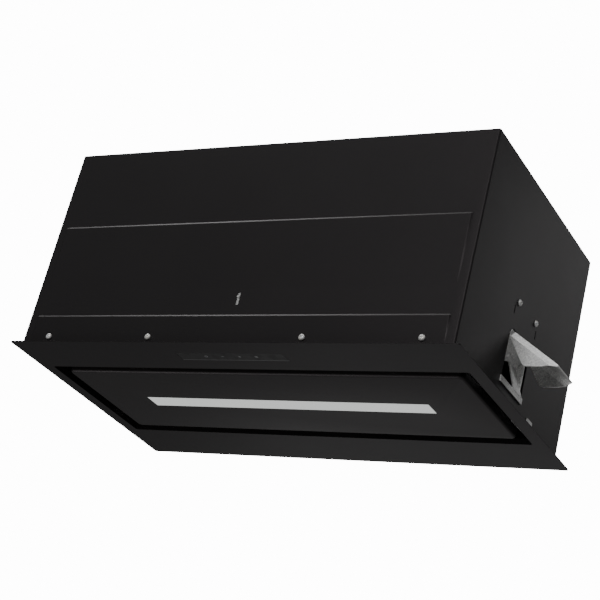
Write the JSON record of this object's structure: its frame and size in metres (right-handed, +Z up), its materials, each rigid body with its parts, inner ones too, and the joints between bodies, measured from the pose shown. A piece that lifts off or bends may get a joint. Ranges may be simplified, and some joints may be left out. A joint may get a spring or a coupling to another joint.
{
  "type": "built-in cooker hood",
  "caption": "Black built-in canopy cooker hood with a flush hinged intake panel, light strip, spring side clips and a ducted blower.",
  "frame": {"origin": "centre of the flange's lower face, at the base of the hood's overall box", "axes": "+X along the hood to its right seen from the cook's side, +Y to the wall behind, +Z up to the duct"},
  "size_m": [0.611, 0.294, 0.2643],
  "materials": {
    "casing_coat": "satin black powder coat, fine orange peel",
    "flange_coat": "satin black powder coat",
    "panel_coat": "satin black powder coat",
    "galvanised": "hot-dip galvanised sheet with spangle",
    "motor_steel": "zinc-plated steel",
    "bright_zinc": "bright zinc plating",
    "filter_aluminium": "satin aluminium",
    "lamp_aluminium": "extruded aluminium",
    "lamp_diffuser": "opal diffuser",
    "touch_glass": "black gloss touch strip",
    "black_plastic": "moulded black plastic",
    "grey_plastic": "moulded grey plastic",
    "impeller_plastic": "glass-filled black plastic",
    "capacitor_shell": "off-white plastic can",
    "circuit_board": "green solder mask",
    "lamp_circuit": "white solder mask",
    "bush_rubber": "black rubber",
    "magnet_ferrite": "sintered ferrite"
  },
  "bodies": {
    "hood": {"casing_wrap": "casing_coat", "back_panel": "casing_coat", "top_panel": "casing_coat", "filter_deck": "casing_coat", "flange_frame": "flange_coat", "catch_bracket_left": "galvanised", "catch_bracket_right": "galvanised", "pivot_bracket_left": "galvanised", "pivot_bracket_right": "galvanised", "hanging_tab": "galvanised", "motor_body": "motor_steel", "motor_bracket": "motor_steel", "front_screw_1": "bright_zinc", "front_screw_2": "bright_zinc", "front_screw_3": "bright_zinc", "front_screw_4": "bright_zinc", "right_deck_screw_front": "bright_zinc", "right_deck_screw_rear": "bright_zinc", "left_deck_screw_front": "bright_zinc", "left_deck_screw_rear": "bright_zinc", "flap_pin": "bright_zinc", "filter_frame_left": "filter_aluminium", "filter_frame_right": "filter_aluminium", "filter_mesh_left": "filter_aluminium", "filter_mesh_right": "filter_aluminium", "control_strip": "touch_glass", "duct_collar": "black_plastic", "cable_gland": "black_plastic", "electronics_box": "black_plastic", "electronics_lid": "black_plastic", "control_cover": "black_plastic", "volute_left": "grey_plastic", "volute_right": "grey_plastic", "inlet_ring_left": "grey_plastic", "inlet_ring_right": "grey_plastic", "run_capacitor": "capacitor_shell", "control_board": "circuit_board", "power_board": "circuit_board", "motor_bush_1": "bush_rubber", "motor_bush_2": "bush_rubber", "motor_bush_3": "bush_rubber", "catch_magnet_left": "magnet_ferrite", "catch_magnet_right": "magnet_ferrite"},
    "panel": {"panel_pan": "panel_coat", "panel_back_plate": "galvanised", "lamp_lens": "lamp_diffuser", "lamp_housing": "lamp_aluminium", "lamp_board": "lamp_circuit"},
    "impeller": {"impeller": "impeller_plastic", "motor_shaft": "bright_zinc"},
    "flap_front": {"flap_front": "grey_plastic"},
    "flap_back": {"flap_back": "grey_plastic"},
    "clip_right": {"side_clip_right": "galvanised"},
    "clip_left": {"side_clip_left": "galvanised"},
    "latch_right": {"filter_latch_right": "black_plastic"},
    "latch_left": {"filter_latch_left": "black_plastic"}
  },
  "joints": [
    {"name": "panel_hinge", "type": "hinge", "parent": "hood", "child": "panel", "pos_m": [0, 0.058, 0.016], "axis": [1, 0, 0], "range_deg": [0, 90]},
    {"name": "impeller_spin", "type": "hinge", "parent": "hood", "child": "impeller", "pos_m": [0, 0.02759, 0.16256], "axis": [1, 0, 0], "continuous": true},
    {"name": "flap_front_hinge", "type": "hinge", "parent": "hood", "child": "flap_front", "pos_m": [0, -0.005, 0.2473], "axis": [-1, 0, 0], "range_deg": [0, 80]},
    {"name": "flap_back_hinge", "type": "hinge", "parent": "hood", "child": "flap_back", "pos_m": [0, -0.005, 0.2473], "axis": [1, 0, 0], "range_deg": [0, 80]},
    {"name": "clip_right_hinge", "type": "hinge", "parent": "hood", "child": "clip_right", "pos_m": [0.2505, -0.008, 0.025], "axis": [0, -1, 0], "range_deg": [0, 60], "stiffness_Nm_per_rad": 1, "springref_deg": -17.19},
    {"name": "clip_left_hinge", "type": "hinge", "parent": "hood", "child": "clip_left", "pos_m": [-0.2505, -0.008, 0.025], "axis": [0, 1, 0], "range_deg": [0, 60], "stiffness_Nm_per_rad": 1, "springref_deg": -17.19},
    {"name": "filter_latch_right_slide", "type": "slide", "parent": "hood", "child": "latch_right", "axis": [0, 1, 0], "range_m": [0, 0.009], "stiffness_N_per_m": 300, "springref_m": -0.005},
    {"name": "filter_latch_left_slide", "type": "slide", "parent": "hood", "child": "latch_left", "axis": [0, 1, 0], "range_m": [0, 0.009], "stiffness_N_per_m": 300, "springref_m": -0.005}
  ]
}
